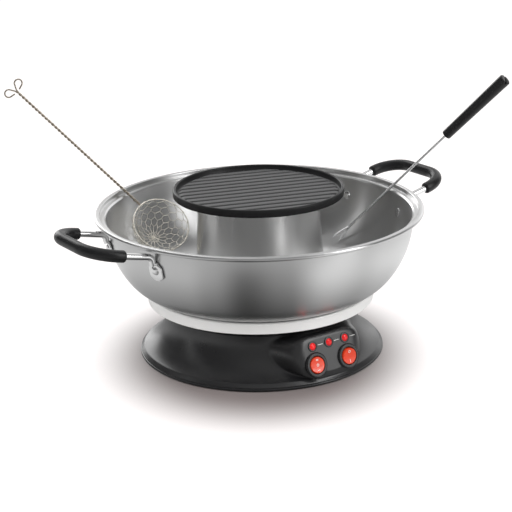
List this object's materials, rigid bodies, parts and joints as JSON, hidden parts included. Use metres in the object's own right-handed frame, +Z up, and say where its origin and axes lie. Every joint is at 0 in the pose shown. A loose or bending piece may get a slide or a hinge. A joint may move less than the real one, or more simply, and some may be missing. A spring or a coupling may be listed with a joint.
{
  "type": "electric fondue set",
  "caption": "Electric fondue set: steel ring pan round a chimney, ribbed grill plate on top, heated base with rocker switches and lamps, fondue fork and wire strainer.",
  "frame": {"origin": "centre of the underside, on the table, on the axis of the pan, chimney and base", "axes": "+Z up along the chimney; the control panel faces -Y; the pan's handles lie along X"},
  "size_m": [0.3952, 0.373, 0.2498],
  "materials": {
    "black_plastic": "satin moulded",
    "black_gloss": "gloss moulded",
    "rubber": "matte",
    "steel": "satin brushed",
    "chrome": "polished",
    "bright_steel": "fine brushed",
    "aluminium": "cast",
    "element": "oxidised sheath",
    "ceramic": "dull",
    "red_rocker": "translucent gloss",
    "red_lens": "translucent gloss",
    "nonstick": "satin non-stick",
    "brass_wire": "dull"
  },
  "bodies": {
    "base": {"base_shell": "black_plastic", "base_plate": "black_plastic", "rubber_feet": "rubber", "cover_screws": "chrome", "cord_gland": "black_plastic", "terminal_block": "ceramic", "pan_thermostat": "ceramic", "seat_ring": "bright_steel", "heat_dish": "steel", "pan_hot_plate": "aluminium", "column_tube": "steel", "element_disc": "ceramic", "grill_element": "element", "left_switch_body": "black_gloss", "right_switch_body": "black_gloss", "lamp_holders": "black_gloss", "left_lamp": "red_lens", "middle_lamp": "red_lens", "right_lamp": "red_lens"},
    "rocker_left": {"left_rocker": "red_rocker"},
    "rocker_right": {"right_rocker": "red_rocker"},
    "pan": {"pan_bowl": "steel", "pan_chimney": "bright_steel", "left_handle_rod": "chrome", "right_handle_rod": "chrome", "left_grip": "black_plastic", "right_grip": "black_plastic", "handle_rivets": "chrome"},
    "grill": {"grill_plate": "nonstick"},
    "fork": {"fork_rod": "chrome", "fork_handle": "black_plastic"},
    "strainer": {"strainer_rim": "brass_wire", "strainer_basket": "brass_wire", "strainer_handle": "brass_wire", "strainer_hooks": "brass_wire", "strainer_tie": "brass_wire"}
  },
  "joints": [
    {"name": "left_rocker_tilt", "type": "hinge", "parent": "base", "child": "rocker_left", "pos_m": [-0.0176, -0.10915, 0.01919], "axis": [1, 0, 0], "range_deg": [-9, 9]},
    {"name": "right_rocker_tilt", "type": "hinge", "parent": "base", "child": "rocker_right", "pos_m": [0.0176, -0.10915, 0.01919], "axis": [1, 0, 0], "range_deg": [-18, 0]},
    {"name": "pan_lift", "type": "slide", "parent": "base", "child": "pan", "axis": [0, 0, 1], "range_m": [0, 0.12]},
    {"name": "grill_lift", "type": "slide", "parent": "pan", "child": "grill", "axis": [0, 0, 1], "range_m": [0, 0.08]},
    {"name": "fork_lift", "type": "slide", "parent": "pan", "child": "fork", "axis": [0, 0, 1], "range_m": [0, 0.1]},
    {"name": "strainer_lift", "type": "slide", "parent": "pan", "child": "strainer", "axis": [0, 0, 1], "range_m": [0, 0.1]}
  ]
}
